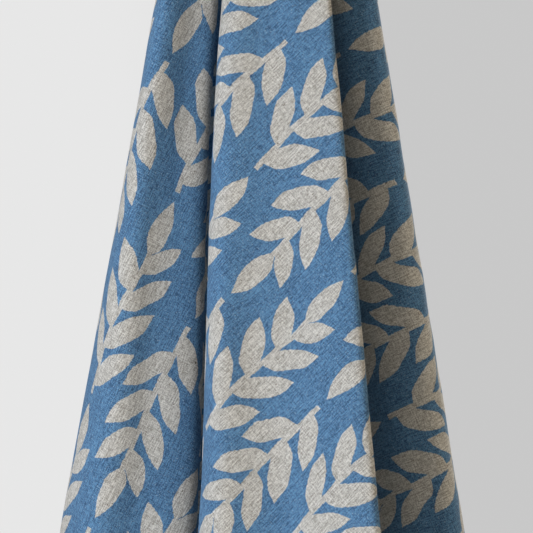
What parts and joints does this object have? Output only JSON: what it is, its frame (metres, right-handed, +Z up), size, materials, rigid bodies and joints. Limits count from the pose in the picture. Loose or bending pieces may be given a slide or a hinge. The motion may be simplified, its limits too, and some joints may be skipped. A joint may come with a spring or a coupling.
{
  "type": "printed linen fabric",
  "caption": "Square cut of natural linen with a blue leaf-sprig print, hung by one corner so that it falls in long soft folds.",
  "frame": {"origin": "middle of the gathered top edge, just under the point that the cloth hangs from", "axes": "+Z up, the front with the three folds faces -Y, +X to the right of someone looking at the front"},
  "size_m": [0.1764, 0.1442, 0.652],
  "materials": {
    "printed_linen": "matt plain-weave flax linen, screen printed in mid blue on one face, natural oatmeal ground"
  },
  "bodies": {
    "root": {"linen_cloth": "printed_linen"}
  },
  "joints": []
}
